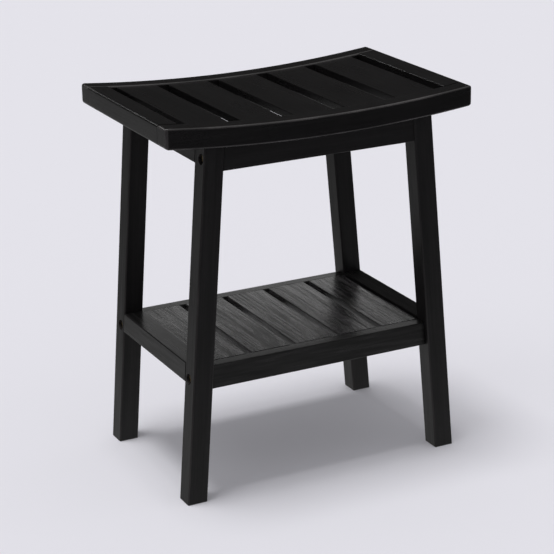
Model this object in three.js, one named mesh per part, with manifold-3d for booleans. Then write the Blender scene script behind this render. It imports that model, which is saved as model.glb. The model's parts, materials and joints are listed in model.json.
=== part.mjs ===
// Slatted wooden shower stool with a dished seat, splayed legs and a slatted shelf.
// Millimetres, +Z up. The origin is on the floor, under the middle of the stool.
// X runs along the stool, left to right, and Y from its front to its back.
import * as THREE from 'three';
import { mergeVertices } from 'three/addons/utils/BufferGeometryUtils.js';
import Module from 'manifold-3d';

const wasm = await Module();
wasm.setup();

// ---- driving dimensions ----
const FIT = 0.3;                 // gap left between pieces that meet

const SEAT_LENGTH = 403;
const SEAT_DEPTH = 257;
const SEAT_HEIGHT = 471;         // top of the seat at its two ends
const SEAT_DIP = 11;             // how much lower the seat is in the middle
const SEAT_THICK = 25;
const SEAT_RAIL_WIDTH = 24;
const SEAT_END_WIDTH = 26;
const SEAT_EDGE = 2.5;           // rounding of the seat frame's edges
const SEAT_CORNER = 3.9;         // rounding of its ends, seen from the front
const SEAT_STEPS = 20;           // straight steps that its curve is made of

const SEAT_SLAT_WIDTH = 53;
const SLAT_THICK = 9.3;
const SLAT_EDGE = 1;
const SLAT_COUNT = 5;
const SEAT_SLAT_PITCH = 68.7;
const SEAT_SLAT_DROP = 1.5;      // seat slats lie this far below the rails' tops
const SHELF_SLAT_WIDTH = 52;
const SHELF_SLAT_PITCH = 60;

const TONGUE_LENGTH = 7;         // slat ends let into the rails
const TONGUE_THICK = 5;
const TONGUE_SHOULDER = 4;       // the tongue is this much narrower on each side
const SHELF_TONGUE_LIFT = 1;     // shelf tongues start this far above the slats' undersides

const LEG_X = 26;                // leg section
const LEG_Y = 25.5;
const LEG_EDGE = 2;
const LEG_CORNER = 3.6;
const FOOT_OUTER = 186.3;          // outer face of the legs at the floor
const LEG_FACE = 119.8;          // front face of the front legs
const SPLAY = 0.0818;            // legs lean out this much for each mm down

const RAIL_THICK = 15.5;         // aprons and shelf rails along X
const APRON_FACE = 118.3;
const APRON_BOTTOM = 409;
const SHELF_RAIL_FACE = 112.3;
const SHELF_RAIL_BOTTOM = 141.3;
const SHELF_RAIL_TOP = 171.2;
const SHELF_SLAT_TOP = 171.4;
const RAIL_EDGE = 1.2;
const RAIL_CORNER = 2.2;

const SIDE_APRON_BOTTOM = 417;   // cross rails between a front and a back leg
const SHELF_END_BOTTOM = 150.2;
const SHELF_END_TOP = 174.3;
const TENON_LENGTH = 12;
const TENON_WIDTH = 13;
const TENON_HEIGHT = 6.5;
const TENON_DROP = 2;            // tenons lie this far below their rails' tops

const BOLT_SHANK = 3;            // radii of the frame bolts and their holes
const BOLT_HEAD = 5.8;
const BOLT_HEAD_THICK = 3.5;
const BOLT_LENGTH = 52;          // under the head
const BOLT_RECESS = 7.2;         // depth of the head's recess in the leg
const BOLT_PAST_NUT = 6;
const BOLT_SOCKET = 2.25;
const BOLT_SOCKET_DEPTH = 2.1;
const NUT_RADIUS = 5;
const NUT_LENGTH = 12;
const APRON_BOLT_HEIGHT = 425;
const SHELF_BOLT_HEIGHT = 156.6;

const SCREW_OFFSET = 70;         // screws that hold the seat down
const SCREW_SHANK = 2;
const SCREW_HEAD = 4;
const SCREW_HEAD_THICK = 2.8;
const SCREW_POINT = 4;
const SCREW_BITE = 10;           // how far it goes into the seat rail
const SCREW_RECESS = 10;         // how far up the apron its head sits

// ---- colours ----
const STAINED_WOOD = { color: 0x1b1716, roughness: 0.5, metalness: 0 };
const BRASS_STEEL = { color: 0x8c6a35, roughness: 0.35, metalness: 0.9 };
const ZINC_STEEL = { color: 0x9a9a96, roughness: 0.4, metalness: 0.9 };

const stool = new THREE.Group();

// ---- the shapes that the pieces share ----
const seatTop = (x) => SEAT_HEIGHT - SEAT_DIP * (1 - (2 * x / SEAT_LENGTH) ** 2);
const seatUnder = (x) => seatTop(x) - SEAT_THICK;
const legOuter = (z) => FOOT_OUTER - SPLAY * z;
const legInner = (z) => legOuter(z) - LEG_X;

// The point where a slanted face, given as its x at each z, comes up to the seat.
// Each round moves it closer, and the seat is nearly level, so a few are enough.
function meetSeat(face) {
  const rounds = 8;
  let x = face(SEAT_HEIGHT);
  for (let i = 0; i < rounds; i += 1) x = face(seatUnder(x) - FIT);
  return [x, seatUnder(x) - FIT];
}

// An outline in X and Z. Each corner is [x, z] or [x, z, rounding].
function outline(corners) {
  const shape = new THREE.Shape();
  corners.forEach((corner, i) => {
    const here = new THREE.Vector2(corner[0], corner[1]);
    const before = new THREE.Vector2(...corners.at(i - 1).slice(0, 2));
    const after = new THREE.Vector2(...corners[(i + 1) % corners.length].slice(0, 2));
    const rounding = corner[2] ?? 0;
    const start = before.sub(here).setLength(rounding).add(here);
    const end = after.sub(here).setLength(rounding).add(here);
    if (i === 0) shape.moveTo(start.x, start.y);
    else shape.lineTo(start.x, start.y);
    if (rounding > 0) shape.quadraticCurveTo(here.x, here.y, end.x, end.y);
  });
  shape.closePath();
  return shape;
}

// A board: an outline carried along Y from one depth to another, its rims rounded.
function board(shape, yFrom, yTo, edge = 0) {
  const geometry = new THREE.ExtrudeGeometry(shape, {
    depth: yTo - yFrom - 2 * edge,
    bevelEnabled: edge > 0,
    bevelThickness: edge,
    bevelSize: edge,
    bevelOffset: -edge,
    bevelSegments: 2,
    curveSegments: 3,
  });
  return geometry.rotateX(Math.PI / 2).translate(0, yTo - edge, 0);
}

// A round rod along X, Y or Z, centred on a point.
function rod(radius, length, axis, centre, sides = 16) {
  const geometry = new THREE.CylinderGeometry(radius, radius, length, sides);
  if (axis === 'x') geometry.rotateZ(Math.PI / 2);
  if (axis === 'z') geometry.rotateX(Math.PI / 2);
  return geometry.translate(...centre);
}

function block(xFrom, xTo, yFrom, yTo, zFrom, zTo) {
  const geometry = new THREE.BoxGeometry(xTo - xFrom, yTo - yFrom, zTo - zFrom);
  return geometry.translate((xFrom + xTo) / 2, (yFrom + yTo) / 2, (zFrom + zTo) / 2);
}

function solid(geometry) {
  const bare = geometry.clone();
  bare.deleteAttribute('normal');
  bare.deleteAttribute('uv');
  const merged = mergeVertices(bare, 1e-4);
  return new wasm.Manifold(new wasm.Mesh({
    numProp: 3,
    vertProperties: new Float32Array(merged.attributes.position.array),
    triVerts: new Uint32Array(merged.index.array),
  }));
}

function shell(body) {
  const mesh = body.getMesh();
  const geometry = new THREE.BufferGeometry();
  geometry.setAttribute('position', new THREE.BufferAttribute(mesh.vertProperties, 3));
  geometry.setIndex(new THREE.BufferAttribute(mesh.triVerts, 1));
  geometry.computeVertexNormals();
  return geometry;
}

function cut(geometry, tools) {
  return shell(tools.reduce((body, tool) => body.subtract(solid(tool)), solid(geometry)));
}

function join(geometry, tools) {
  return shell(tools.reduce((body, tool) => body.add(solid(tool)), solid(geometry)));
}

function addPiece(name, geometry, look = STAINED_WOOD) {
  const mesh = new THREE.Mesh(geometry, new THREE.MeshStandardMaterial(look));
  mesh.name = name;
  stool.add(mesh);
}

// Front is -Y and left is -X. A piece made for one side is turned to the other by its signs.
const SIDES = [['left', -1], ['right', 1]];
const ENDS = [['front', -1], ['back', 1]];

// A span from near the middle to far from it is written for the back or the right, and mirrored.
const span = (way, near, far) => (way > 0 ? [near, far] : [-far, -near]);

// Corners are written for the right, then mirrored and reversed for the left.
function facing(side, corners) {
  if (side > 0) return corners;
  return corners.map(([x, ...rest]) => [-x, ...rest]).reverse();
}

// ---- seat ----
const RAIL_INNER = SEAT_DEPTH / 2 - SEAT_RAIL_WIDTH;
const SEAT_END_X = SEAT_LENGTH / 2;
const SEAT_SLAT_SPREAD = SEAT_SLAT_PITCH * (SLAT_COUNT - 1) / 2;

// A strip that follows the dished seat between two places and two depths below its top.
function seatStrip(xFrom, xTo, upper, lower, [roundFrom, roundTo] = [0, 0], steps = 2) {
  const along = Array.from({ length: steps + 1 }, (_, i) => xFrom + (xTo - xFrom) * i / steps);
  const rounded = (x) => (x === xFrom && roundFrom) || (x === xTo && roundTo) || 0;
  const under = along.map((x) => [x, seatTop(x) - lower, rounded(x)]);
  const over = along.toReversed().map((x) => [x, seatTop(x) - upper, rounded(x)]);
  return outline([...under, ...over]);
}

// The tongue at both ends of a seat piece, or the slot for it when grown by a gap.
function seatTongue({ from, to, upper, lower }, reach, gap) {
  const middle = (upper + lower) / 2;
  const strip = seatStrip(
    from + TONGUE_SHOULDER - gap, to - TONGUE_SHOULDER + gap,
    middle - TONGUE_THICK / 2 - gap, middle + TONGUE_THICK / 2 + gap,
  );
  return board(strip, -reach, reach);
}

function seatCrosspieces() {
  const pieces = [];
  for (let i = 0; i < SLAT_COUNT; i += 1) {
    const centre = i * SEAT_SLAT_PITCH - SEAT_SLAT_SPREAD;
    pieces.push({
      name: `seat_slat_${i + 1}`,
      from: centre - SEAT_SLAT_WIDTH / 2,
      to: centre + SEAT_SLAT_WIDTH / 2,
      upper: SEAT_SLAT_DROP,
      lower: SEAT_SLAT_DROP + SLAT_THICK,
      edges: [SLAT_EDGE, SLAT_EDGE],
    });
  }
  const endInner = SEAT_END_X - SEAT_END_WIDTH;
  for (const [name, side] of SIDES) {
    const [from, to] = span(side, endInner, SEAT_END_X);
    const edges = side > 0 ? [SLAT_EDGE, SEAT_CORNER] : [SEAT_CORNER, SLAT_EDGE];
    pieces.push({ name: `seat_end_${name}`, from, to, upper: 0, lower: SEAT_THICK, edges });
  }
  return pieces;
}

function screwPlaces(way) {
  return SIDES.map(([name, side]) => [name, side * SCREW_OFFSET, way * (APRON_FACE - RAIL_THICK / 2)]);
}

function addSeat() {
  const crosspieces = seatCrosspieces();
  const reach = RAIL_INNER + TONGUE_LENGTH;
  for (const piece of crosspieces) {
    const { name, from, to, upper, lower, edges } = piece;
    const body = board(seatStrip(from, to, upper, lower, edges), FIT - RAIL_INNER, RAIL_INNER - FIT);
    addPiece(name, join(body, [seatTongue(piece, reach, 0)]));
  }
  const slots = crosspieces.map((piece) => seatTongue(piece, reach + FIT, FIT));
  const ends = [SEAT_CORNER, SEAT_CORNER];
  const railShape = seatStrip(-SEAT_END_X, SEAT_END_X, 0, SEAT_THICK, ends, SEAT_STEPS);
  for (const [name, way] of ENDS) {
    const rail = board(railShape, ...span(way, RAIL_INNER, SEAT_DEPTH / 2), SEAT_EDGE);
    const pilots = screwPlaces(way).map(([, x, y]) => (
      rod(SCREW_SHANK + FIT, 2 * (SCREW_BITE + FIT), 'z', [x, y, seatUnder(x)])));
    addPiece(`seat_rail_${name}`, cut(rail, [...slots, ...pilots]));
  }
}

// ---- legs and the cross rails that pair them ----
const LEG_INNER_Y = LEG_FACE - LEG_Y;

function tenon(side, top, gap) {
  const centre = side * (legOuter(top) - LEG_X / 2);
  const reach = LEG_INNER_Y + TENON_LENGTH + gap;
  return block(
    centre - TENON_WIDTH / 2 - gap, centre + TENON_WIDTH / 2 + gap, -reach, reach,
    top - TENON_HEIGHT - gap, top + gap,
  );
}

const SIDE_APRON_TENON = meetSeat(legInner)[1] - TENON_DROP;
const SHELF_END_TENON = SHELF_END_TOP - TENON_DROP;

function boltHoles(side, y) {
  const tools = [];
  for (const height of [APRON_BOLT_HEIGHT, SHELF_BOLT_HEIGHT]) {
    const face = legOuter(height);
    tools.push(rod(BOLT_SHANK + FIT, 3 * LEG_X, 'x', [side * face, y(height), height]));
    tools.push(rod(BOLT_HEAD + 2 * FIT, 2 * BOLT_RECESS, 'x', [side * face, y(height), height], 24));
  }
  return tools;
}

// The middle of the long rail that a bolt at this height goes into.
function railMiddle(height) {
  const face = height > SEAT_HEIGHT / 2 ? APRON_FACE : SHELF_RAIL_FACE;
  return face - RAIL_THICK / 2;
}

function addLegs() {
  for (const [sideName, side] of SIDES) {
    const shape = outline(facing(side, [
      [legInner(0), 0, LEG_CORNER], [legOuter(0), 0, LEG_CORNER], meetSeat(legOuter), meetSeat(legInner),
    ]));
    for (const [endName, way] of ENDS) {
      const leg = board(shape, ...span(way, LEG_INNER_Y, LEG_FACE), LEG_EDGE);
      const tools = [
        tenon(side, SIDE_APRON_TENON, FIT), tenon(side, SHELF_END_TENON, FIT),
        ...boltHoles(side, (height) => way * railMiddle(height)),
      ];
      addPiece(`leg_${endName}_${sideName}`, cut(leg, tools));
    }
  }
}

function addCrossRail(name, side, bottom, topOuter, topInner, tenonTop) {
  const shape = outline(facing(side, [
    [legInner(bottom), bottom, RAIL_EDGE], [legOuter(bottom), bottom, RAIL_EDGE],
    [...topOuter, RAIL_EDGE], [...topInner, RAIL_EDGE],
  ]));
  const body = board(shape, FIT - LEG_INNER_Y, LEG_INNER_Y - FIT);
  addPiece(name, join(body, [tenon(side, tenonTop, 0)]));
}

function addCrossRails() {
  const shelfEndTop = [legOuter, legInner].map((face) => [face(SHELF_END_TOP), SHELF_END_TOP]);
  const apronTop = [legOuter, legInner].map(meetSeat);
  for (const [name, side] of SIDES) {
    addCrossRail(`apron_${name}`, side, SIDE_APRON_BOTTOM, ...apronTop, SIDE_APRON_TENON);
    addCrossRail(`shelf_end_${name}`, side, SHELF_END_BOTTOM, ...shelfEndTop, SHELF_END_TENON);
  }
}

// ---- long rails between the two pairs of legs, and the bolts that hold them ----
// A barrel nut sits across the rail, where the bolt's end comes through it.
const boltSeat = (height) => legOuter(height) - BOLT_RECESS;
const nutPlace = (height) => boltSeat(height) - BOLT_LENGTH + BOLT_PAST_NUT;

function railHoles(way, height) {
  const y = way * railMiddle(height);
  const tools = [];
  for (const [, side] of SIDES) {
    const tip = boltSeat(height) - BOLT_LENGTH - FIT;
    const drilled = legInner(height) + LEG_X - tip;
    tools.push(rod(BOLT_SHANK + FIT, drilled, 'x', [side * (tip + drilled / 2), y, height]));
    const depth = NUT_LENGTH + RAIL_THICK;
    const start = y + way * (NUT_LENGTH / 2 + FIT) - way * depth / 2;
    tools.push(rod(NUT_RADIUS + FIT, depth, 'y', [side * nutPlace(height), start, height], 20));
  }
  return tools;
}

function addAprons() {
  const end = legInner(APRON_BOTTOM) - FIT;
  const topEnd = meetSeat(legInner)[0] - FIT;
  const top = Array.from({ length: SEAT_STEPS / 2 + 1 }, (_, i) => {
    const x = topEnd - 4 * topEnd * i / SEAT_STEPS;
    return [x, seatUnder(x) - FIT];
  });
  const shape = outline([[-end, APRON_BOTTOM, RAIL_CORNER], [end, APRON_BOTTOM, RAIL_CORNER], ...top]);
  for (const [name, way] of ENDS) {
    const apron = board(shape, ...span(way, APRON_FACE - RAIL_THICK, APRON_FACE), RAIL_EDGE);
    const tools = railHoles(way, APRON_BOLT_HEIGHT);
    for (const [, x, y] of screwPlaces(way)) {
      tools.push(rod(SCREW_SHANK + FIT, 2 * (SEAT_HEIGHT - APRON_BOTTOM), 'z', [x, y, APRON_BOTTOM]));
      tools.push(rod(SCREW_HEAD + FIT, 2 * SCREW_RECESS, 'z', [x, y, APRON_BOTTOM]));
    }
    addPiece(`apron_${name}`, cut(apron, tools));
  }
}

function shelfSlats() {
  const spread = SHELF_SLAT_PITCH * (SLAT_COUNT - 1) / 2;
  return Array.from({ length: SLAT_COUNT }, (_, i) => i * SHELF_SLAT_PITCH - spread);
}

const SHELF_INNER = SHELF_RAIL_FACE - RAIL_THICK;

function shelfTongue(centre, gap) {
  const half = SHELF_SLAT_WIDTH / 2 - TONGUE_SHOULDER + gap;
  const reach = SHELF_INNER + TONGUE_LENGTH + gap;
  const bottom = SHELF_SLAT_TOP - SLAT_THICK + SHELF_TONGUE_LIFT;
  return block(centre - half, centre + half, -reach, reach, bottom - gap, bottom + TONGUE_THICK + gap);
}

function addShelf() {
  const end = (z) => legInner(z) - FIT;
  const shape = outline([
    [-end(SHELF_RAIL_BOTTOM), SHELF_RAIL_BOTTOM, RAIL_CORNER],
    [end(SHELF_RAIL_BOTTOM), SHELF_RAIL_BOTTOM, RAIL_CORNER],
    [end(SHELF_RAIL_TOP), SHELF_RAIL_TOP, RAIL_CORNER],
    [-end(SHELF_RAIL_TOP), SHELF_RAIL_TOP, RAIL_CORNER],
  ]);
  const slots = shelfSlats().map((centre) => shelfTongue(centre, FIT));
  for (const [name, way] of ENDS) {
    const rail = board(shape, ...span(way, SHELF_INNER, SHELF_RAIL_FACE), RAIL_EDGE);
    addPiece(`shelf_rail_${name}`, cut(rail, [...slots, ...railHoles(way, SHELF_BOLT_HEIGHT)]));
  }
  shelfSlats().forEach((centre, i) => {
    const [left, right] = [centre - SHELF_SLAT_WIDTH / 2, centre + SHELF_SLAT_WIDTH / 2];
    const under = SHELF_SLAT_TOP - SLAT_THICK;
    const slat = outline([
      [left, under, SLAT_EDGE], [right, under, SLAT_EDGE],
      [right, SHELF_SLAT_TOP, SLAT_EDGE], [left, SHELF_SLAT_TOP, SLAT_EDGE],
    ]);
    const body = board(slat, FIT - SHELF_INNER, SHELF_INNER - FIT);
    addPiece(`shelf_slat_${i + 1}`, join(body, [shelfTongue(centre, 0)]));
  });
}

// ---- fasteners ----
// Socket-head bolt along X. Its head faces the side that it is driven from.
function bolt(side, y, height) {
  const seat = side * boltSeat(height);
  const shank = rod(BOLT_SHANK, BOLT_LENGTH, 'x', [seat - side * BOLT_LENGTH / 2, y, height], 12);
  const head = rod(BOLT_HEAD, BOLT_HEAD_THICK, 'x', [seat + side * BOLT_HEAD_THICK / 2, y, height], 24);
  const headFace = [seat + side * BOLT_HEAD_THICK, y, height];
  const socket = rod(BOLT_SOCKET, 2 * BOLT_SOCKET_DEPTH, 'x', headFace, 6);
  return shell(solid(shank).add(solid(head)).subtract(solid(socket)));
}

function barrelNut(side, y, height) {
  const place = [side * nutPlace(height), y, height];
  const hole = rod(BOLT_SHANK + FIT, 3 * NUT_RADIUS, 'x', place, 12);
  return cut(rod(NUT_RADIUS, NUT_LENGTH, 'y', place, 20), [hole]);
}

// Wood screw standing on its head, with its tip in the seat rail above.
function seatScrew(x, y) {
  const bottom = APRON_BOTTOM + SCREW_RECESS;
  const tip = seatUnder(x) + SCREW_BITE;
  const profile = [
    [0, bottom - SCREW_HEAD_THICK], [SCREW_HEAD, bottom - SCREW_HEAD_THICK], [SCREW_HEAD, bottom - FIT],
    [SCREW_SHANK, bottom - FIT], [SCREW_SHANK, tip - SCREW_POINT], [0, tip],
  ].map(([radius, z]) => new THREE.Vector2(radius, z));
  return new THREE.LatheGeometry(profile, 12).rotateX(Math.PI / 2).translate(x, y, 0);
}

function addFasteners() {
  for (const [endName, way] of ENDS) {
    for (const [sideName, side] of SIDES) {
      for (const [level, height] of [['apron', APRON_BOLT_HEIGHT], ['shelf', SHELF_BOLT_HEIGHT]]) {
        const y = way * railMiddle(height);
        addPiece(`bolt_${level}_${endName}_${sideName}`, bolt(side, y, height), BRASS_STEEL);
        addPiece(`barrel_nut_${level}_${endName}_${sideName}`, barrelNut(side, y, height), ZINC_STEEL);
      }
    }
    for (const [sideName, x, y] of screwPlaces(way)) {
      addPiece(`seat_screw_${endName}_${sideName}`, seatScrew(x, y), ZINC_STEEL);
    }
  }
}

addSeat();
addLegs();
addCrossRails();
addAprons();
addShelf();
addFasteners();

export default stool;
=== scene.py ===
import json
import math
import random

import bmesh
import bpy
from mathutils import Matrix, Vector

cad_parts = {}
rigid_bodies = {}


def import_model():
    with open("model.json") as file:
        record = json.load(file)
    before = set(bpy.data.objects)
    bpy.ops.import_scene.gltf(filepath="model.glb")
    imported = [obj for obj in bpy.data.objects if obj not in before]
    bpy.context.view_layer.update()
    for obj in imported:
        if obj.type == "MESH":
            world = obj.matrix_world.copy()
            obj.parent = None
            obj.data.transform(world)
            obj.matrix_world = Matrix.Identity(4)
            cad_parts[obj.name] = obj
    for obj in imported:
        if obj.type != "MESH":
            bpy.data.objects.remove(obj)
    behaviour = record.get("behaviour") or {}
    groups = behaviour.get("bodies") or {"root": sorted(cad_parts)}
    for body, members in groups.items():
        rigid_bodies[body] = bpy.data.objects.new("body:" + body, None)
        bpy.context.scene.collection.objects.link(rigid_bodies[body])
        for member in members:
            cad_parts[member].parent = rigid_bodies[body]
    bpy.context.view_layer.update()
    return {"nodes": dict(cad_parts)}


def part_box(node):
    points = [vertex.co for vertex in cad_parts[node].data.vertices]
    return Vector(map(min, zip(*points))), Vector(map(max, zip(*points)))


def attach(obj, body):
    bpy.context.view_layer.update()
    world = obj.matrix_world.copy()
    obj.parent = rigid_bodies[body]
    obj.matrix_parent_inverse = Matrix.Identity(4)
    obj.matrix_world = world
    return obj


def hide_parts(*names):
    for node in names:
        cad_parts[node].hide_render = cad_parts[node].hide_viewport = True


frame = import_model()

MM = 0.001
SIDES = {"left": -1, "right": 1}
ENDS = {"front": -1, "back": 1}
LEVELS = ("apron", "shelf")  # the two heights at which bolts go through the legs
SLATS = range(1, 6)

# ---- sizes that only the fine surfaces have ----
SEAT_ROUND = 2.5 * MM        # long edges of the seat's rails
SEAT_CORNER_ROUND = 4 * MM   # the seat's four upright corners
SEAT_TIP_ROUND = 3.9 * MM    # edges across the seat's two ends
SLAT_ROUND = 1 * MM
LEG_ROUND = 2 * MM
FOOT_ROUND = 1 * MM
RAIL_ROUND = 1.2 * MM
JOINT_ROUND = 0.5 * MM       # edges that meet a neighbour
HOLE_ROUND = 0.5 * MM        # mouths of the bolt heads' recesses
RIM_ROUND = 0.25 * MM        # sharp edges of bolts, nuts and screws
LARGEST_ROUND = 5 * MM       # what an edge of full bevel weight would get
FIT = 0.3 * MM               # gap between pieces that meet
HEAD_THICK = 3.5 * MM        # bolt heads
HOLE_GAP = 0.6 * MM          # around a bolt head in its recess
BOLT_SHANK = 3 * MM
SOCKET = 2.25 * MM
SOCKET_DEPTH = 2.1 * MM
SLOT_WIDTH = 1.2 * MM
SLOT_DEPTH = 1 * MM
SCREW_SHANK = 2 * MM
SCREW_HEAD_THICK = 2.8 * MM
SCREW_POINT = 4 * MM         # length of a screw's taper
SCREW_TIP = SCREW_SHANK / 10
PAST = 30 * MM               # how far a cutter runs out of the wood

# ---- how finely surfaces are made ----
CURVE_STEPS = 60             # along the dished seat
SLAT_STEPS = 10
SEAT_END_STEPS = 6
ROUND_STEPS = 5
ROUND_SIDES = 48             # flats around bolt heads, nuts and their holes
SHANK_SIDES = 32
PILOT_SIDES = 24
SOCKET_SIDES = 6
SHARP_EDGE = math.radians(30)
FLAT_ANGLE = math.radians(8)  # a face this close to an axis isn't part of a rounding
NORMAL_WEIGHT = 60           # how far large faces decide the shading beside them
NEAR = 0.3 * MM              # how close counts as on a face
MOSTLY = 0.9                 # share of an edge's direction that counts as along an axis


# ---- places read from the frame ----
STATION_REACH = 0.2 * MM
RING_REACH = 1.5 * MM
MEET_ROUNDS = 8


def heights_at(name, x):
    """Heights of a node's vertices on the line at x, lowest and highest."""
    vertices = frame["nodes"][name].data.vertices
    found = [v.co.z for v in vertices if abs(v.co.x - x) < STATION_REACH]
    return min(found), max(found)


def outermost_at(name, z):
    """How far out from the middle a node's vertices go in X, near a height."""
    vertices = frame["nodes"][name].data.vertices
    return max(abs(v.co.x) for v in vertices if abs(v.co.z - z) < RING_REACH)


RAIL_LOW, RAIL_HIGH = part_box("seat_rail_back")
SEAT_X = RAIL_HIGH.x
SEAT_Y = RAIL_HIGH.y
RAIL_INNER_Y = RAIL_LOW.y
SEAT_REACH = RAIL_INNER_Y - FIT         # half the length of what lies between the seat's rails
SEAT_UNDER_MIDDLE, SEAT_TOP_MIDDLE = heights_at("seat_rail_back", 0)
SEAT_THICK = SEAT_TOP_MIDDLE - SEAT_UNDER_MIDDLE
CURVE_STATION = 0.9 * SEAT_X            # near the rail's end, but inside its rounding
CURVE_RISE = heights_at("seat_rail_back", CURVE_STATION)[1] - SEAT_TOP_MIDDLE
SEAT_CURVE = CURVE_RISE / CURVE_STATION ** 2

LEG_LOW, LEG_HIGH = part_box("leg_back_right")
LEG_STATION = 3.6 * MM                  # just above the foot's rounding in the CAD
LEG_OUTER_LOW = outermost_at("leg_back_right", LEG_STATION)
LEG_OUTER_HIGH = outermost_at("leg_back_right", LEG_HIGH.z)
SPLAY = (LEG_OUTER_LOW - LEG_OUTER_HIGH) / (LEG_HIGH.z - LEG_STATION)
LEAN = math.atan(SPLAY)
FOOT_OUTER = LEG_OUTER_LOW + SPLAY * LEG_STATION
LEG_WIDTH = LEG_OUTER_HIGH - LEG_LOW.x
LEG_TOP_BAND = 3 * MM                   # edges this close to a leg's highest point are its top's


def seat_top(x):
    """Height of the dished seat's top."""
    return SEAT_TOP_MIDDLE + SEAT_CURVE * x * x


def under_seat(x):
    """Height at which what carries the seat stops, just under it."""
    return seat_top(x) - SEAT_THICK - FIT


def leg_outer(z):
    """How far out a right leg's outer face is at a height."""
    return FOOT_OUTER - SPLAY * z


def leg_inner(z):
    """How far out a right leg's inner face is at a height."""
    return leg_outer(z) - LEG_WIDTH


def meet(face, height_at):
    """Where a leaning face, given as its x at each z, comes up to a curved height."""
    x = face(RAIL_HIGH.z)
    for _ in range(MEET_ROUNDS):
        x = face(height_at(x))
    return x, height_at(x)


# ---- mesh tools ----
def piece_of(name, points, faces):
    """Object in the scene with these points and faces, its faces turned outwards."""
    mesh = bpy.data.meshes.new(name)
    mesh.from_pydata(points, [], faces)
    bm = bmesh.new()
    bm.from_mesh(mesh)
    bmesh.ops.recalc_face_normals(bm, faces=bm.faces)
    bm.to_mesh(mesh)
    bm.free()
    piece = bpy.data.objects.new(name, mesh)
    bpy.context.scene.collection.objects.link(piece)
    return piece


def joined_rings(name, points, count):
    """Solid between two outlines of count points each, given one after the other."""
    walls = [(i, (i + 1) % count, count + (i + 1) % count, count + i) for i in range(count)]
    caps = [tuple(range(count)), tuple(range(count, 2 * count))]
    return piece_of(name, points, walls + caps)


def carry_along_y(name, corners, y_from, y_to):
    """Solid made by carrying an outline in X and Z from one depth to another."""
    points = [(x, y, z) for y in (y_from, y_to) for x, z in corners]
    return joined_rings(name, points, len(corners))


def rod(radius, start, end, sides=ROUND_SIDES, end_radius=None):
    """Round core or cutter between two points, or a taper if its end has a radius of its own."""
    start = Vector(start)
    end = Vector(end)
    turn = (end - start).to_track_quat("Z", "Y").to_matrix()
    points = []
    for centre, size in ((start, radius), (end, end_radius or radius)):
        for i in range(sides):
            angle = 2 * math.pi * i / sides
            points.append(centre + turn @ Vector((size * math.cos(angle), size * math.sin(angle), 0)))
    return joined_rings("rod", points, sides)


def block(centre, size):
    """Box-shaped cutter."""
    half = [length / 2 for length in size]
    left, right = centre.x - half[0], centre.x + half[0]
    bottom, top = centre.z - half[2], centre.z + half[2]
    corners = [(left, bottom), (right, bottom), (right, top), (left, top)]
    return carry_along_y("block", corners, centre.y - half[1], centre.y + half[1])


def moved(place, **to):
    """The same place with x, y or z changed."""
    copy = place.copy()
    for axis, value in to.items():
        setattr(copy, axis, value)
    return copy


def settle(piece):
    """Turns a piece's modifiers into its mesh."""
    evaluated = piece.evaluated_get(bpy.context.evaluated_depsgraph_get())
    mesh = bpy.data.meshes.new_from_object(evaluated)
    piece.modifiers.clear()
    piece.data = mesh


def carve(piece, cutters, operation="DIFFERENCE"):
    """Cuts pieces out of another, or joins them to it, and uses them up."""
    for cutter in cutters:
        change = piece.modifiers.new("carve", "BOOLEAN")
        change.operation = operation
        change.solver = "EXACT"
        change.object = cutter
    settle(piece)
    for cutter in cutters:
        bpy.data.objects.remove(cutter)


def lies_along(direction, axis):
    """Whether an edge's direction is close to the x, y or z axis."""
    return abs(getattr(direction, axis)) > MOSTLY


def rounded_along(axis, radius):
    """For soften: one radius for the edges along an axis, and none for the rest."""
    return lambda middle, direction: radius if lies_along(direction, axis) else 0.0


def soften(piece, radius_of):
    """Rounds each sharp edge by the radius that radius_of gives for its middle and direction."""
    bm = bmesh.new()
    bm.from_mesh(piece.data)
    weights = bm.edges.layers.float.new("bevel_weight_edge")
    for edge in bm.edges:
        if edge.calc_face_angle(0) > SHARP_EDGE:
            one, two = (vertex.co for vertex in edge.verts)
            edge[weights] = radius_of((one + two) / 2, (two - one).normalized()) / LARGEST_ROUND
    bm.to_mesh(piece.data)
    bm.free()
    bevel = piece.modifiers.new("round", "BEVEL")
    bevel.limit_method = "WEIGHT"
    bevel.width = LARGEST_ROUND
    bevel.segments = ROUND_STEPS
    bevel.use_clamp_overlap = False
    settle(piece)


def mark_wear_and_highlight(piece):
    """Stores where edges are rounded, for the finish to lighten as wear and as a painted highlight, and
    shades the piece smoothly.
    """
    mesh = piece.data
    # 1 on rounded edges, where the finish paints rubbed stain and a highlight; 0 on flat faces
    worn = [1.0] * len(mesh.vertices)
    for face in mesh.polygons:
        if max(abs(part) for part in face.normal) > math.cos(FLAT_ANGLE):
            for index in face.vertices:
                worn[index] = 0.0
    attribute = mesh.attributes.new("wear", "FLOAT", "POINT")
    attribute.data.foreach_set("value", worn)
    mesh.polygons.foreach_set("use_smooth", [True] * len(mesh.polygons))
    mesh.set_sharp_from_angle(angle=SHARP_EDGE)
    normals = piece.modifiers.new("normals", "WEIGHTED_NORMAL")
    normals.keep_sharp = True
    normals.weight = NORMAL_WEIGHT


# ---- shader nodes ----
def feed(tree, socket, value):
    """Links a socket to another node's output, or sets its constant."""
    if isinstance(value, bpy.types.NodeSocket):
        tree.links.new(value, socket)
    else:
        socket.default_value = value


def add_node(tree, kind, inputs=None, **settings):
    """New node with its settings made and its inputs fed."""
    made = tree.nodes.new(kind)
    for key, value in settings.items():
        setattr(made, key, value)
    for key, value in (inputs or {}).items():
        feed(tree, made.inputs[key], value)
    return made


def ramp(tree, factor, stops):
    """Colour ramp whose stops are pairs of a position and a colour or grey."""
    made = add_node(tree, "ShaderNodeValToRGB", {"Fac": factor})
    elements = made.color_ramp.elements
    while len(elements) < len(stops):
        elements.new(0.5)
    for element, (position, value) in zip(elements, stops):
        element.position = position
        colour = value if isinstance(value, tuple) else (value, value, value)
        element.color = (*colour, 1)
    return made.outputs["Color"]


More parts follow.
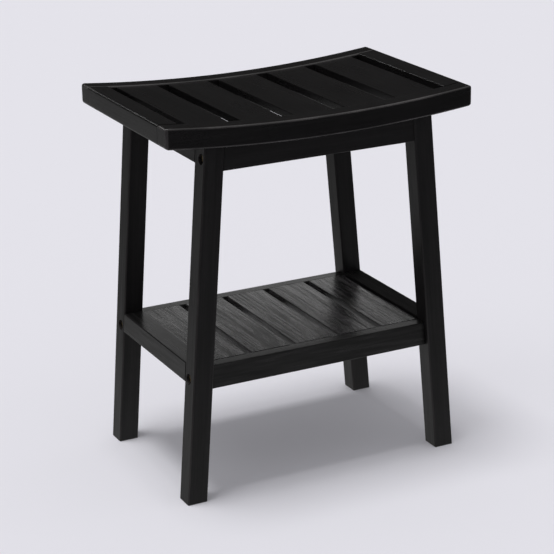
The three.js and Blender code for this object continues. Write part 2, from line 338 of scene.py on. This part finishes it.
def fade(tree, factor, span, low, high):
    """Colour ramp from one colour or grey to another, over a span of the factor."""
    return ramp(tree, factor, [(span[0], low), (span[1], high)])


def scaled(tree, value, span, low, high):
    """Carries a span of values onto low to high, and keeps to those limits."""
    made = add_node(tree, "ShaderNodeMapRange", {
        "Value": value, "From Min": span[0], "From Max": span[1], "To Min": low, "To Max": high})
    return made.outputs["Result"]


def mix_colour(tree, factor, one, two, blend="MIX"):
    """Mixes two colours, each a socket or three numbers."""
    made = add_node(tree, "ShaderNodeMix", data_type="RGBA", blend_type=blend)
    factor_in, one_in, two_in = made.inputs[0], made.inputs[6], made.inputs[7]
    feed(tree, factor_in, factor)
    for socket, colour in ((one_in, one), (two_in, two)):
        feed(tree, socket, (*colour, 1) if isinstance(colour, tuple) else colour)
    return made.outputs[2]


def combine(tree, operation, one, two):
    """One sum, difference or product of two values."""
    return add_node(tree, "ShaderNodeMath", {0: one, 1: two}, operation=operation).outputs[0]


def mix_shaders(tree, factor, one, two):
    """Shows the first shader where the factor is 0 and the second where it is 1."""
    return add_node(tree, "ShaderNodeMixShader", {0: factor, 1: one.outputs[0], 2: two.outputs[0]})


def noise(tree, place, scale, detail, roughness, warp=0.0):
    """Cloudy noise, with so many features a metre."""
    made = add_node(tree, "ShaderNodeTexNoise", {
        "Vector": place, "Scale": scale, "Detail": detail, "Roughness": roughness, "Distortion": warp})
    return made.outputs["Fac"]


def new_material(name):
    """Empty finish, with its node tree and its shader."""
    material = bpy.data.materials.new(name)
    material.use_nodes = True
    tree = material.node_tree
    return material, tree, tree.nodes["Principled BSDF"]


# ---- wood ----
GRAIN = {"X": (1, 0, 0), "Y": (0, 1, 0), "Z": (0, 0, 1)}
PLACE_REACH = 3.0                       # metres over which pieces take their places in the pattern

# Noises drawn out along the grain: features a metre along it and across it, detail, roughness, warp.
STREAKS = (9, 420, 6, 0.62, 0.1)
FIGURE = (3.2, 55, 3, 0.5, 0.6)
PORES = (60, 2300, 2, 0.5, 0.0)
PATCHES = (14, 26, 4, 0.55, 0.0)
FLECKS = (14, 260, 3, 0.6, 0.0)

STREAK_SHARE = 0.62                     # of the tone; the figure gives the rest
TONE_SPAN = (0.36, 0.66)                # noise values from the darkest tone to the lightest
PORE_SPAN = (0.58, 0.70)                # from closed grain to open pores
FLECK_SPAN = (0.42, 0.62)               # from plain grain to flecked
RUB_AND_HIGHLIGHT_SPAN = (0.35, 0.65)                 # from the least rubbed and highlit edge to the most
PATCH_SPAN = (0.3, 0.7)                 # from smooth patches to rough ones
RUB_AND_HIGHLIGHT_LEAST, RUB_AND_HIGHLIGHT_MOST = 0.25, 1.0         # how far an edge is lightened, as rubbed stain and as a painted highlight
PATCH_SMOOTH, PATCH_ROUGH = -0.03, 0.04
PORE_ROUGH = 0.12
WEAR_GLOSS = 0.10
FLECK_GLOSS = 0.14
FLECK_DARK = (0.3, 0.3, 0.3)            # how many times lighter flecked grain is than its base
FLECK_LIGHT = (3.2, 3.2, 3.2)
PORE_DEPTH = 0.35
WOOD_RELIEF = 0.4 * MM

# The worn colour lightens rounded edges: partly rubbed stain, partly a painted highlight along them.
FINISHES = {
    "seat_wood": {
        "dark": (0.0050, 0.0046, 0.0047), "light": (0.0105, 0.0097, 0.0099),
        "worn": (0.065, 0.061, 0.061), "rough": (0.33, 0.26),
        "specular": 0.34, "bump": 0.06, "fleck": 0.0},
    "frame_wood": {
        "dark": (0.0072, 0.0066, 0.0068), "light": (0.0155, 0.0141, 0.0145),
        "worn": (0.030, 0.027, 0.027), "rough": (0.45, 0.35),
        "specular": 0.32, "bump": 0.08, "fleck": 0.0},
    "shelf_rail": {
        "dark": (0.0070, 0.0065, 0.0067), "light": (0.0160, 0.0150, 0.0152),
        "worn": (0.050, 0.047, 0.047), "rough": (0.38, 0.26),
        "specular": 0.45, "bump": 0.10, "fleck": 0.3},
    "shelf_slat": {
        "dark": (0.008, 0.0076, 0.0078), "light": (0.040, 0.038, 0.039),
        "worn": (0.085, 0.080, 0.080), "rough": (0.42, 0.13),
        "specular": 0.5, "bump": 0.65, "fleck": 1.0},
}


def grain_place(tree, name, lean):
    """Coordinates turned along a leaning piece, with the piece's own place in the pattern."""
    draw = random.Random(name)
    return add_node(tree, "ShaderNodeMapping", {
        "Vector": add_node(tree, "ShaderNodeTexCoord").outputs["Object"],
        "Location": [draw.uniform(-PLACE_REACH, PLACE_REACH) for _ in range(3)],
        "Rotation": (0, lean, 0)}).outputs["Vector"]


def grain_noise(tree, place, grain, pattern):
    """One of the noises above, drawn out along the grain."""
    along, across, detail, roughness, warp = pattern
    scales = [along if on else across for on in GRAIN[grain]]
    stretched = add_node(tree, "ShaderNodeVectorMath", {0: place, 1: scales}, operation="MULTIPLY")
    return noise(tree, stretched.outputs[0], 1.0, detail, roughness, warp)


def wood(name, look, grain, lean=0.0):
    """Dark stained wood whose grain runs along one axis."""
    finish = FINISHES[look]
    material, tree, shader = new_material(name)
    place = grain_place(tree, name, lean)
    streaks = grain_noise(tree, place, grain, STREAKS)
    figure = grain_noise(tree, place, grain, FIGURE)
    patches = grain_noise(tree, place, grain, PATCHES)
    pores = fade(tree, grain_noise(tree, place, grain, PORES), PORE_SPAN, 0.0, 1.0)
    wear = add_node(tree, "ShaderNodeAttribute", attribute_name="wear").outputs["Fac"]

    tone = combine(tree, "ADD", combine(tree, "MULTIPLY", streaks, STREAK_SHARE),
                   combine(tree, "MULTIPLY", figure, 1 - STREAK_SHARE))
    base = fade(tree, tone, TONE_SPAN, finish["dark"], finish["light"])
    base = mix_colour(tree, pores, base, finish["dark"])
    # Rounded edges are lightened towards the worn colour: rubbed stain and a painted highlight.
    rubbed_and_highlit = combine(tree, "MULTIPLY", wear, scaled(tree, patches, RUB_AND_HIGHLIGHT_SPAN, RUB_AND_HIGHLIGHT_LEAST, RUB_AND_HIGHLIGHT_MOST))
    base = mix_colour(tree, rubbed_and_highlit, base, finish["worn"])

    rough = scaled(tree, tone, TONE_SPAN, *finish["rough"])
    rough = combine(tree, "ADD", rough, scaled(tree, patches, PATCH_SPAN, PATCH_SMOOTH, PATCH_ROUGH))
    rough = combine(tree, "ADD", rough, combine(tree, "MULTIPLY", pores, PORE_ROUGH))
    rough = combine(tree, "SUBTRACT", rough, combine(tree, "MULTIPLY", wear, WEAR_GLOSS))

    if finish["fleck"]:
        flecks = fade(tree, grain_noise(tree, place, grain, FLECKS), FLECK_SPAN, 0.0, 1.0)
        flecks = combine(tree, "MULTIPLY", flecks, finish["fleck"])
        lighter = mix_colour(tree, flecks, FLECK_DARK, FLECK_LIGHT)
        base = mix_colour(tree, 1.0, base, lighter, "MULTIPLY")
        rough = combine(tree, "SUBTRACT", rough, combine(tree, "MULTIPLY", flecks, FLECK_GLOSS))

    height = combine(tree, "SUBTRACT", streaks, combine(tree, "MULTIPLY", pores, PORE_DEPTH))
    bump = add_node(tree, "ShaderNodeBump", {
        "Height": height, "Strength": finish["bump"], "Distance": WOOD_RELIEF})
    feed(tree, shader.inputs["Base Color"], base)
    feed(tree, shader.inputs["Roughness"], rough)
    feed(tree, shader.inputs["Normal"], bump.outputs["Normal"])
    feed(tree, shader.inputs["Specular IOR Level"], finish["specular"])
    return material


# ---- metal ----
TURNING = (1400.0, 4.0, 0.6)            # features a metre, detail and roughness of the fine marks
CLOUDS = (260.0, 3.0, 0.55)             # and of the rubbed tones
TURNING_SPAN = (0.3, 0.7)
CLOUD_SPAN = (0.35, 0.62)
METAL_BUMP = 0.12
METAL_RELIEF = 0.05 * MM


def metal(name, colour, worn, rough_low, rough_high):
    """Plated steel with fine turning marks and slightly rubbed tones."""
    material, tree, shader = new_material(name)
    place = add_node(tree, "ShaderNodeTexCoord").outputs["Object"]
    turning = noise(tree, place, *TURNING)
    clouds = noise(tree, place, *CLOUDS)
    bump = add_node(tree, "ShaderNodeBump", {
        "Height": turning, "Strength": METAL_BUMP, "Distance": METAL_RELIEF})
    feed(tree, shader.inputs["Base Color"], fade(tree, clouds, CLOUD_SPAN, worn, colour))
    feed(tree, shader.inputs["Roughness"], scaled(tree, turning, TURNING_SPAN, rough_low, rough_high))
    feed(tree, shader.inputs["Normal"], bump.outputs["Normal"])
    feed(tree, shader.inputs["Metallic"], 1.0)
    return material


# ---- standing in for the CAD nodes ----
def put_in_place(piece, node, material):
    """Gives a fine piece its finish and puts it in its CAD node's place."""
    mark_wear_and_highlight(piece)
    piece.data.materials.append(material)
    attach(piece, "root")
    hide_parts(node)


def finish_piece(piece, node, slot, grain, lean=0.0, look=None):
    """Puts a wooden piece in place, with the look of its slot or one of its own."""
    put_in_place(piece, node, wood(f"{node}_{slot}", look or slot, grain, lean))


def finish_fastener(piece, node, material):
    """Rounds a fastener's rims and puts it in place."""
    soften(piece, lambda middle, direction: RIM_ROUND)
    piece.name = node + "_turned"
    put_in_place(piece, node, material)


# ---- seat ----
def strip(x_from, x_to, upper, lower, steps):
    """Outline of a strip that follows the dished seat, between two depths below its top."""
    along = [x_from + (x_to - x_from) * i / steps for i in range(steps + 1)]
    under = [(x, seat_top(x) - lower) for x in along]
    over = [(x, seat_top(x) - upper) for x in reversed(along)]
    return under + over


def seat_rail_radius(middle, direction):
    """Rounding of a seat rail's long edges, tips and upright corners."""
    if lies_along(direction, "z"):
        inner = abs(middle.y) < RAIL_INNER_Y + SEAT_ROUND
        return JOINT_ROUND if inner else SEAT_CORNER_ROUND
    return SEAT_TIP_ROUND if lies_along(direction, "y") else SEAT_ROUND


def make_seat_rails():
    """Long front and back rails, which show the seat's curve."""
    shape = strip(-SEAT_X, SEAT_X, 0, SEAT_THICK, CURVE_STEPS)
    for end, way in ENDS.items():
        node = f"seat_rail_{end}"
        rail = carry_along_y(node + "_board", shape, way * RAIL_INNER_Y, way * SEAT_Y)
        soften(rail, seat_rail_radius)
        finish_piece(rail, node, "seat_wood", "X")


def seat_end_radius(middle, direction):
    """Rounding of an end board: as the rails' tips outside, as a slat's edge inside."""
    if not lies_along(direction, "y"):
        return 0.0
    return SEAT_TIP_ROUND if abs(middle.x) > SEAT_X - SEAT_ROUND else SLAT_ROUND


def make_seat_ends():
    """Boards between the rails at the seat's two ends."""
    for side, way in SIDES.items():
        node = f"seat_end_{side}"
        low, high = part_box(node)
        inner = min(abs(low.x), abs(high.x))
        shape = strip(way * inner, way * SEAT_X, 0, SEAT_THICK, SEAT_END_STEPS)
        board = carry_along_y(node + "_board", shape, -SEAT_REACH, SEAT_REACH)
        soften(board, seat_end_radius)
        finish_piece(board, node, "seat_wood", "Y")


def slat_depths(node):
    """How far a seat slat's top and underside lie below the tops of the rails."""
    vertices = frame["nodes"][node].data.vertices
    drops = [seat_top(v.co.x) - v.co.z for v in vertices]
    return min(drops), max(drops)


def make_seat_slats():
    """Thin slats between the seat's rails."""
    for i in SLATS:
        node = f"seat_slat_{i}"
        low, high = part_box(node)
        shape = strip(low.x, high.x, *slat_depths(node), SLAT_STEPS)
        board = carry_along_y(node + "_board", shape, -SEAT_REACH, SEAT_REACH)
        soften(board, rounded_along("y", SLAT_ROUND))
        finish_piece(board, node, "seat_wood", "Y")


# ---- legs and rails ----
def tops_under_seat():
    """Where a right leg's outer and inner faces come up to the seat."""
    return [meet(leg_outer, under_seat), meet(leg_inner, under_seat)]


def leg_slice(way, bottom, tops):
    """Outline as wide as a leg, from a height up to its outer and inner tops, on either side."""
    right = [(leg_inner(bottom), bottom), (leg_outer(bottom), bottom), *tops]
    return [(way * x, z) for x, z in right]


def head_recesses(way, depth):
    """Cutters for the round recesses that a leg's two bolt heads sit in."""
    cutters = []
    for level in LEVELS:
        low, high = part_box(f"bolt_{level}_back_right")
        middle = (low + high) / 2
        outside = (way * (leg_outer(middle.z) + PAST), depth * middle.y, middle.z)
        bottom = (way * (high.x - HEAD_THICK), depth * middle.y, middle.z)
        cutters.append(rod((high.z - low.z) / 2 + HOLE_GAP, outside, bottom))
    return cutters


def leg_radius(middle, direction):
    """Rounding of a leg's foot, long edges and head recesses. Its top is hidden and stays sharp."""
    if middle.z < NEAR:
        return FOOT_ROUND
    if middle.z > LEG_HIGH.z - LEG_TOP_BAND:
        return 0.0
    at_side = any(abs(abs(middle.y) - side.y) < NEAR for side in (LEG_LOW, LEG_HIGH))
    if at_side and lies_along(direction, "z"):
        return LEG_ROUND
    return HOLE_ROUND if abs(abs(middle.x) - leg_outer(middle.z)) < NEAR else 0.0


def make_legs():
    """Four legs that splay towards the stool's ends."""
    for side, way in SIDES.items():
        for end, depth in ENDS.items():
            node = f"leg_{end}_{side}"
            low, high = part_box(node)
            shape = leg_slice(way, 0, tops_under_seat())
            leg = carry_along_y(node + "_post", shape, low.y, high.y)
            carve(leg, head_recesses(way, depth))
            soften(leg, leg_radius)
            finish_piece(leg, node, "frame_wood", "Z", way * LEAN)


def make_cross_rails():
    """Short rails between the front and back legs, under the seat and at the shelf."""
    reach = LEG_LOW.y - FIT
    for side, way in SIDES.items():
        for kind, slot, look in (("apron", "frame_wood", None), ("shelf_end", "shelf_wood", "shelf_rail")):
            node = f"{kind}_{side}"
            low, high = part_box(node)
            level_tops = [(leg_outer(high.z), high.z), (leg_inner(high.z), high.z)]
            tops = tops_under_seat() if kind == "apron" else level_tops
            rail = carry_along_y(node + "_board", leg_slice(way, low.z, tops), -reach, reach)
            soften(rail, rounded_along("y", RAIL_ROUND))
            finish_piece(rail, node, slot, "Y", look=look)


def nut_holes(level, end, way):
    """Cutters for the holes in a long rail's inner face that its barrel nuts sit in."""
    cutters = []
    for side in SIDES:
        low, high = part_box(f"barrel_nut_{level}_{end}_{side}")
        middle = (low + high) / 2
        bottom = middle + Vector((0, way * ((high.y - low.y) / 2 + FIT), 0))
        outside = middle - Vector((0, way * PAST, 0))
        cutters.append(rod((high.z - low.z) / 2 + FIT, outside, bottom))
    return cutters


def screw_holes(end):
    """Cutters for the holes in an apron's underside that the seat's screws go up through."""
    cutters = []
    for side in SIDES:
        low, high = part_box(f"seat_screw_{end}_{side}")
        middle = (low + high) / 2
        start = moved(middle, z=low.z)
        head_top = moved(middle, z=low.z + SCREW_HEAD_THICK)
        cutters.append(rod((high.x - low.x) / 2 + FIT, moved(middle, z=low.z - PAST), head_top))
        cutters.append(rod(SCREW_SHANK + FIT, start, moved(middle, z=high.z + PAST), PILOT_SIDES))
    return cutters


def make_aprons():
    """Long front and back rails under the seat, whose tops follow its curve."""
    for end, way in ENDS.items():
        node = f"apron_{end}"
        low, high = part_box(node)
        foot = leg_inner(low.z) - FIT
        reach = meet(leg_inner, under_seat)[0] - FIT
        along = [reach - 2 * reach * i / CURVE_STEPS for i in range(CURVE_STEPS + 1)]
        outline = [(-foot, low.z), (foot, low.z), *((x, under_seat(x)) for x in along)]
        apron = carry_along_y(node + "_board", outline, low.y, high.y)
        carve(apron, nut_holes("apron", end, way) + screw_holes(end))
        soften(apron, rounded_along("x", RAIL_ROUND))
        finish_piece(apron, node, "frame_wood", "X")


def make_shelf_rails():
    """Long front and back rails of the shelf."""
    for end, way in ENDS.items():
        node = f"shelf_rail_{end}"
        low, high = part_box(node)
        foot = leg_inner(low.z) - FIT
        top = leg_inner(high.z) - FIT
        outline = [(-foot, low.z), (foot, low.z), (top, high.z), (-top, high.z)]
        rail = carry_along_y(node + "_board", outline, low.y, high.y)
        carve(rail, nut_holes("shelf", end, way))
        soften(rail, rounded_along("x", RAIL_ROUND))
        finish_piece(rail, node, "shelf_wood", "X", look="shelf_rail")


def make_shelf_slats():
    """Thin slats between the shelf's long rails."""
    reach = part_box("shelf_rail_back")[0].y - FIT
    for i in SLATS:
        node = f"shelf_slat_{i}"
        low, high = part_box(node)
        outline = [(low.x, low.z), (high.x, low.z), (high.x, high.z), (low.x, high.z)]
        board = carry_along_y(node + "_board", outline, -reach, reach)
        soften(board, rounded_along("y", SLAT_ROUND))
        finish_piece(board, node, "shelf_wood", "Y", look="shelf_slat")


# ---- fasteners ----
def make_bolts(material):
    """Socket-head bolts, whose heads face the ends of the stool."""
    for level in LEVELS:
        for end in ENDS:
            for side, way in SIDES.items():
                node = f"bolt_{level}_{end}_{side}"
                low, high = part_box(node)
                middle = (low + high) / 2
                face, tip = (high.x, low.x) if way > 0 else (low.x, high.x)
                top = moved(middle, x=face)
                under_head = moved(middle, x=face - way * HEAD_THICK)
                within_head = moved(middle, x=face - way * HEAD_THICK / 2)
                above = moved(middle, x=face + way * HEAD_THICK)
                socket_end = moved(middle, x=face - way * SOCKET_DEPTH)
                bolt = rod((high.z - low.z) / 2, top, under_head)
                carve(bolt, [rod(BOLT_SHANK, within_head, moved(middle, x=tip), SHANK_SIDES)], "UNION")
                carve(bolt, [rod(SOCKET, above, socket_end, SOCKET_SIDES)])
                finish_fastener(bolt, node, material)


def make_barrel_nuts(material):
    """Cross dowels with a slot in the face that shows."""
    for level in LEVELS:
        for end, way in ENDS.items():
            for side in SIDES:
                node = f"barrel_nut_{level}_{end}_{side}"
                low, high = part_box(node)
                middle = (low + high) / 2
                face = low.y if way > 0 else high.y
                along = Vector((PAST, 0, 0))
                nut = rod((high.z - low.z) / 2, moved(middle, y=low.y), moved(middle, y=high.y))
                across = rod(BOLT_SHANK + FIT, middle - along, middle + along, SHANK_SIDES)
                slot = block(moved(middle, y=face), (PAST, 2 * SLOT_DEPTH, SLOT_WIDTH))
                carve(nut, [across, slot])
                finish_fastener(nut, node, material)


def make_seat_screws(material):
    """Cross-recess screws, driven up through the aprons into the seat."""
    for end in ENDS:
        for side in SIDES:
            node = f"seat_screw_{end}_{side}"
            low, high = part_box(node)
            middle = (low + high) / 2
            radius = (high.x - low.x) / 2
            face = moved(middle, z=low.z)
            within_head = moved(middle, z=low.z + SCREW_HEAD_THICK / 2)
            taper = moved(middle, z=high.z - SCREW_POINT)
            within_shank = moved(middle, z=high.z - SCREW_POINT - FIT)
            tip = moved(middle, z=high.z)
            screw = rod(radius, face, moved(middle, z=low.z + SCREW_HEAD_THICK - FIT))
            carve(screw, [rod(SCREW_SHANK, within_head, taper, SHANK_SIDES)], "UNION")
            carve(screw, [rod(SCREW_SHANK, within_shank, tip, SHANK_SIDES, SCREW_TIP)], "UNION")
            slots = [block(face, (radius, SLOT_WIDTH, 2 * SLOT_DEPTH)),
                     block(face, (SLOT_WIDTH, radius, 2 * SLOT_DEPTH))]
            carve(screw, slots)
            finish_fastener(screw, node, material)


# ---- studio ----
PAPER = (0.768, 0.760, 0.807)
PAPER_SHARE = 0.95                      # of that colour in the paper's surface, as its glow adds some
PAPER_ROUGH = 0.9
GLOW = 0.12                             # light that comes up through the paper
FLOOR_REACH = 40.0                      # half the floor's width
SHEET_REACH = 2.0                       # metres over which the paper's reflection fades
FADE_CROSS = (-0.12, 0.08)              # depths between which the front fade turns into the back one
FRONT_FADE = [(0.0, 0.38), (0.22, 0.32), (0.5, 0.08), (1.0, 0.04)]
BACK_FADE = [(0.0, 0.52), (0.2, 0.42), (0.42, 0.24), (0.6, 0.28), (1.0, 0.24)]
FILL = 0.36
FILL_COLOUR = (0.97, 0.97, 1.0)
ROOM_FADE = [(0.64, 0.02), (0.90, 0.90)]    # dim near the horizon, bright overhead


def reflected_paper(tree):
    """How bright the floor is in reflections: dimmer farther off, and most of all in front."""
    place = add_node(tree, "ShaderNodeTexCoord").outputs["Object"]
    length = add_node(tree, "ShaderNodeVectorMath", {0: place}, operation="LENGTH").outputs["Value"]
    distance = scaled(tree, length, (0.0, SHEET_REACH), 0.0, 1.0)
    depth = add_node(tree, "ShaderNodeSeparateXYZ", {"Vector": place}).outputs["Y"]
    behind = scaled(tree, depth, FADE_CROSS, 0.0, 1.0)
    front_fade = ramp(tree, distance, FRONT_FADE)
    back_fade = ramp(tree, distance, BACK_FADE)
    seen = mix_colour(tree, behind, front_fade, back_fade)
    return add_node(tree, "ShaderNodeEmission", {"Color": seen, "Strength": 1.0})


def paper_material():
    """Pale, faintly glowing paper, which can be seen through from below."""
    material, tree, shader = new_material("paper")
    feed(tree, shader.inputs["Base Color"], (*[c * PAPER_SHARE for c in PAPER], 1))
    feed(tree, shader.inputs["Roughness"], PAPER_ROUGH)
    feed(tree, shader.inputs["Specular IOR Level"], 0.0)
    feed(tree, shader.inputs["Emission Color"], (*PAPER, 1))
    feed(tree, shader.inputs["Emission Strength"], GLOW)
    glossy = add_node(tree, "ShaderNodeLightPath").outputs["Is Glossy Ray"]
    above = mix_shaders(tree, glossy, shader, reflected_paper(tree))
    below = add_node(tree, "ShaderNodeNewGeometry").outputs["Backfacing"]
    clear = add_node(tree, "ShaderNodeBsdfTransparent")
    shown = mix_shaders(tree, below, above, clear)
    feed(tree, tree.nodes["Material Output"].inputs["Surface"], shown.outputs[0])
    return material


def make_floor():
    """Wide sheet of pale paper."""
    mesh = bpy.data.meshes.new("floor")
    corners = [(-FLOOR_REACH, -FLOOR_REACH, 0), (FLOOR_REACH, -FLOOR_REACH, 0),
               (FLOOR_REACH, FLOOR_REACH, 0), (-FLOOR_REACH, FLOOR_REACH, 0)]
    mesh.from_pydata(corners, [], [(0, 1, 2, 3)])
    mesh.materials.append(paper_material())
    floor = bpy.data.objects.new("floor", mesh)
    bpy.context.scene.collection.objects.link(floor)


def make_flag():
    """Sheet under the shelf that only casts a shadow, so that the shelf's gaps leave no stripes."""
    low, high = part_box("shelf_slat_1")
    x = leg_inner(low.z) - FIT
    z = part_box("shelf_rail_back")[0].z
    corners = [(-x, low.y, z), (x, low.y, z), (x, high.y, z), (-x, high.y, z)]
    flag = piece_of("flag", corners, [(0, 1, 2, 3)])
    flag.visible_camera = False
    flag.visible_diffuse = False
    flag.visible_glossy = False
    flag.visible_transmission = False


def make_world():
    """Even fill light. Gloss shows a room that is bright overhead, and the camera sees paper."""
    world = bpy.data.worlds.new("studio")
    bpy.context.scene.world = world
    world.use_nodes = True
    tree = world.node_tree
    tree.nodes.clear()
    fill = add_node(tree, "ShaderNodeBackground", {"Color": (*FILL_COLOUR, 1), "Strength": FILL})
    way = add_node(tree, "ShaderNodeTexCoord").outputs["Generated"]
    height = add_node(tree, "ShaderNodeSeparateXYZ", {"Vector": way}).outputs["Z"]
    room = add_node(tree, "ShaderNodeBackground", {"Color": ramp(tree, height, ROOM_FADE), "Strength": 1.0})
    paper = add_node(tree, "ShaderNodeBackground", {"Color": (*PAPER, 1), "Strength": 1.0})
    rays = add_node(tree, "ShaderNodeLightPath")
    lit = mix_shaders(tree, rays.outputs["Is Glossy Ray"], fill, room)
    shown = mix_shaders(tree, rays.outputs["Is Camera Ray"], lit, paper)
    add_node(tree, "ShaderNodeOutputWorld", {"Surface": shown.outputs[0]})


def hang(name, data, towards):
    """Puts a light in the scene, shining one way."""
    light = bpy.data.objects.new(name, data)
    light.rotation_mode = "QUATERNION"
    light.rotation_quaternion = Vector(towards).to_track_quat("-Z", "Y")
    bpy.context.scene.collection.objects.link(light)
    return light


def add_sun(name, towards, strength, degrees):
    """Distant light, as wide as an angle in degrees."""
    data = bpy.data.lights.new(name, "SUN")
    data.energy = strength
    data.angle = math.radians(degrees)
    return hang(name, data, towards)


def add_card(name, place, towards, size, power):
    """Soft panel, out of the camera's sight."""
    data = bpy.data.lights.new(name, "AREA")
    data.shape = "RECTANGLE"
    data.size, data.size_y = size
    data.energy = power
    card = hang(name, data, towards)
    card.location = place
    card.visible_camera = False
    return card


def light_only(light, starts):
    """Keeps a light to the boards whose names start in one of these ways."""
    lit = bpy.data.collections.new(light.name + "_lit")
    for piece in bpy.data.objects:
        if piece.name.startswith(starts) and piece.name.endswith("_board"):
            lit.objects.link(piece)
    light.light_linking.receiver_collection = lit


def make_lights():
    """Light from overhead and the left, a rim on the seat, and a low card for the shelf's gloss."""
    add_sun("overhead", towards=(0.13, -0.05, -1), strength=1.74, degrees=21)
    add_sun("left_key", towards=(1, 0.2, -1.6), strength=0.15, degrees=30)
    rim = add_sun("rim", towards=(0.3, -0.83, -0.5), strength=0.2, degrees=10)
    light_only(rim, ("seat_rail", "seat_end"))
    low_card = add_card("low_card", place=(0.5, 1.1, 0.38), towards=(-0.4, -1, -0.1),
                        size=(1.7, 0.5), power=1.95)
    light_only(low_card, ("shelf_slat", "shelf_rail", "shelf_end_left"))


# ---- camera ----
CAMERA_PLACE = (-1.0022, -1.9947, 1.0064)
YAW = 0.465                             # radians, turned to the right from facing the back
PITCH = 0.3376                          # downwards
ROLL = -0.0182
SENSOR = 36                             # millimetres, as is the lens
LENS = 122.2843


def make_camera():
    """The photograph's viewpoint."""
    forward = Vector((math.sin(YAW) * math.cos(PITCH), math.cos(YAW) * math.cos(PITCH), -math.sin(PITCH)))
    level = Vector((math.cos(YAW), -math.sin(YAW), 0))
    above = level.cross(forward)
    right = level * math.cos(ROLL) + above * math.sin(ROLL)
    up = above * math.cos(ROLL) - level * math.sin(ROLL)
    turn = Matrix((right, up, -forward)).transposed().to_4x4()
    data = bpy.data.cameras.new("camera")
    data.sensor_width = SENSOR
    data.lens = LENS
    camera = bpy.data.objects.new("camera", data)
    camera.matrix_world = Matrix.Translation(CAMERA_PLACE) @ turn
    bpy.context.scene.collection.objects.link(camera)
    bpy.context.scene.camera = camera


# ---- the whole scene ----
make_seat_rails()
make_seat_ends()
make_seat_slats()
make_legs()
make_cross_rails()
make_aprons()
make_shelf_rails()
make_shelf_slats()
BRASS = metal("brass_plate", colour=(0.83, 0.68, 0.40), worn=(0.55, 0.42, 0.23),
              rough_low=0.34, rough_high=0.55)
ZINC = metal("zinc_plate", colour=(0.50, 0.50, 0.48), worn=(0.34, 0.34, 0.33),
             rough_low=0.28, rough_high=0.46)
make_bolts(BRASS)
make_barrel_nuts(ZINC)
make_seat_screws(ZINC)
make_floor()
make_flag()
make_world()
make_lights()
make_camera()
bpy.context.scene.view_settings.view_transform = "Standard"
